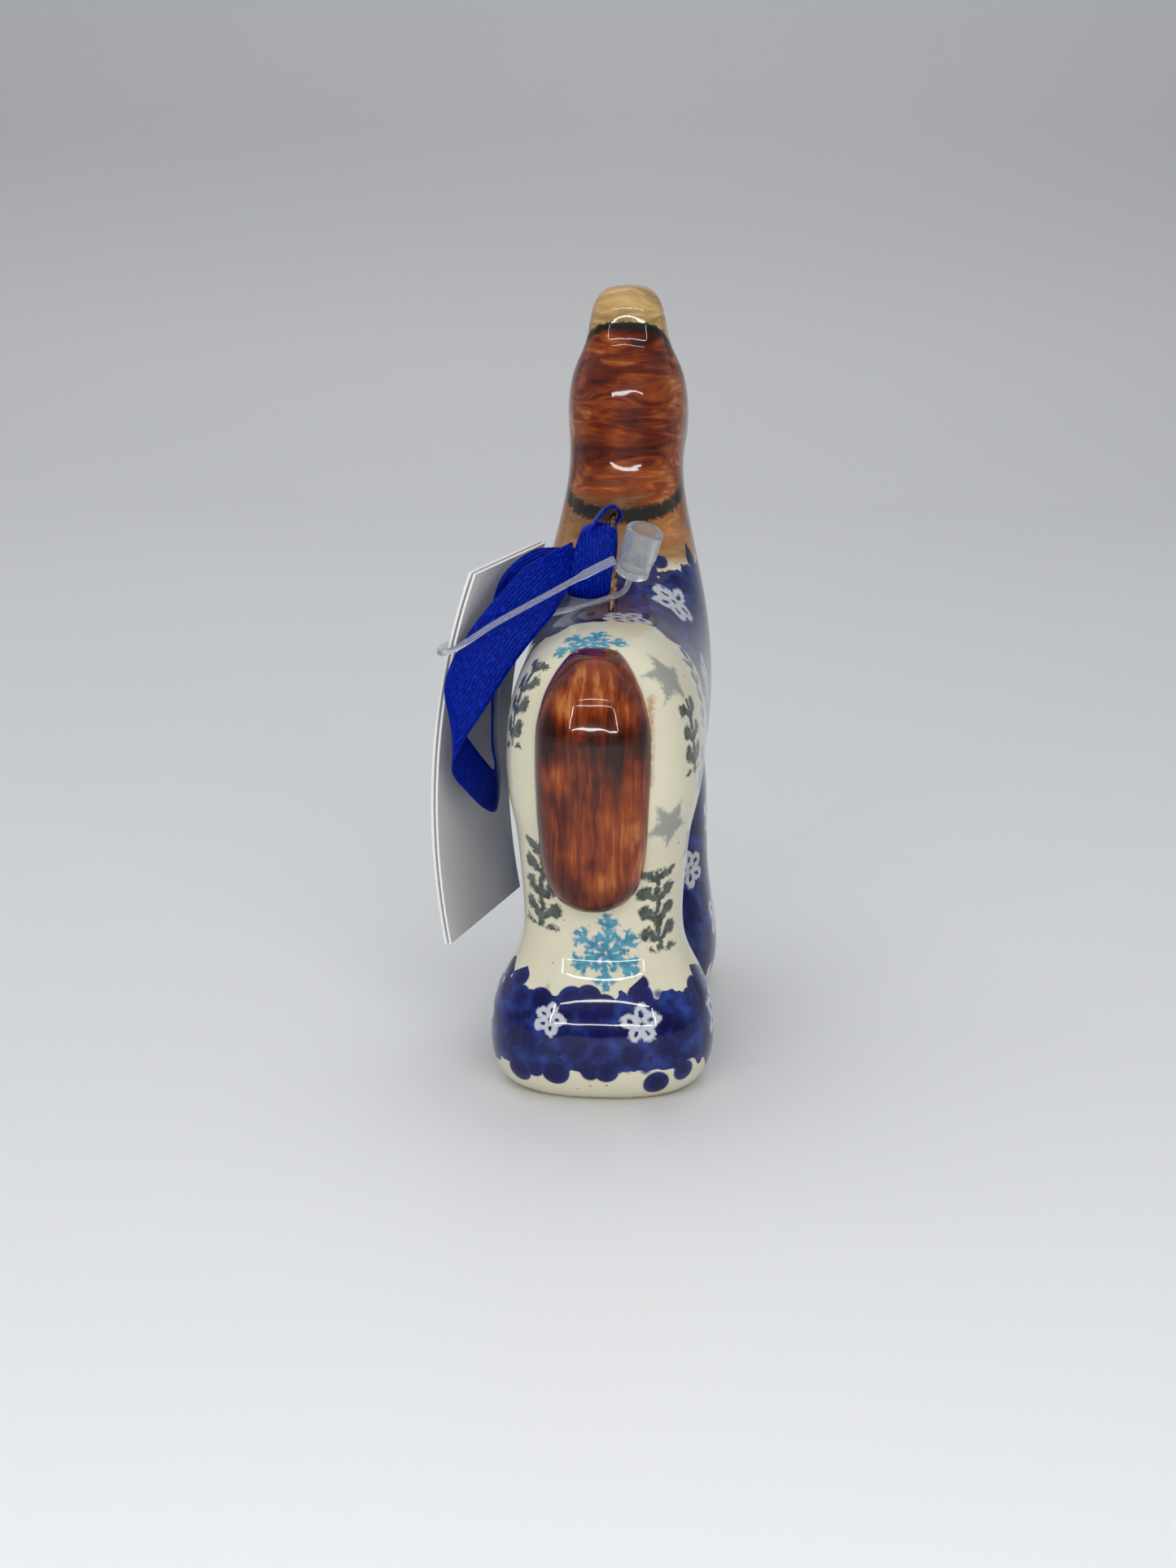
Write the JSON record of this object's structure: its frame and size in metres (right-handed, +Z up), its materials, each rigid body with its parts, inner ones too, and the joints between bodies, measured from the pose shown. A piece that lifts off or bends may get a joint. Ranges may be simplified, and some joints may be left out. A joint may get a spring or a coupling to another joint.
{
  "type": "dala horse ornament",
  "caption": "Glazed stoneware dala horse ornament with a relief tail, a wire hanging eye, a satin ribbon loop and a folded card tag on a plastic fastener; it stands on its feet or hangs.",
  "frame": {"origin": "centre of the horse's footprint on the surface it stands on, on the horse's plane of symmetry", "axes": "+Z up, the horse faces -Y, its left side is +X"},
  "size_m": [0.0482, 0.1, 0.1261],
  "materials": {
    "glazed_stoneware": "hand-painted under a clear gloss glaze",
    "brown_glaze": "brushed brown under a clear gloss glaze",
    "wire": "heat-darkened, copper brown",
    "ribbon": "royal blue polyester satin",
    "clear_plastic": "milky translucent",
    "card": "smooth white card"
  },
  "bodies": {
    "root": {"horse_body": "glazed_stoneware", "tail": "brown_glaze", "wire_hanger": "wire"},
    "ribbon": {"ribbon_loop": "ribbon", "ribbon_hitch": "ribbon"},
    "fastener": {"fastener_socket": "clear_plastic", "fastener_strand": "clear_plastic", "fastener_plug": "clear_plastic"},
    "tag": {"tag_back_leaf": "card"},
    "tag_cover": {"tag_front_leaf": "card"}
  },
  "joints": [
    {"name": "ribbon_swing", "type": "hinge", "parent": "root", "child": "ribbon", "pos_m": [0, 0.01, 0.0905], "axis": [0, -1, 0], "range_deg": [0, 150]},
    {"name": "fastener_swing", "type": "hinge", "parent": "ribbon", "child": "fastener", "pos_m": [0, 0.01, 0.0905], "axis": [0, -1, 0], "range_deg": [0, 5]},
    {"name": "tag_swing", "type": "hinge", "parent": "fastener", "child": "tag", "pos_m": [0.02384, 0.01639, 0.06986], "axis": [0.9422, -0.2349, 0.2387], "range_deg": [0, 30]},
    {"name": "tag_fold", "type": "hinge", "parent": "tag", "child": "tag_cover", "pos_m": [0.02048, -0.01143, 0.05105], "axis": [0.0795, -0.0198, -0.9966], "range_deg": [0, 150]}
  ]
}
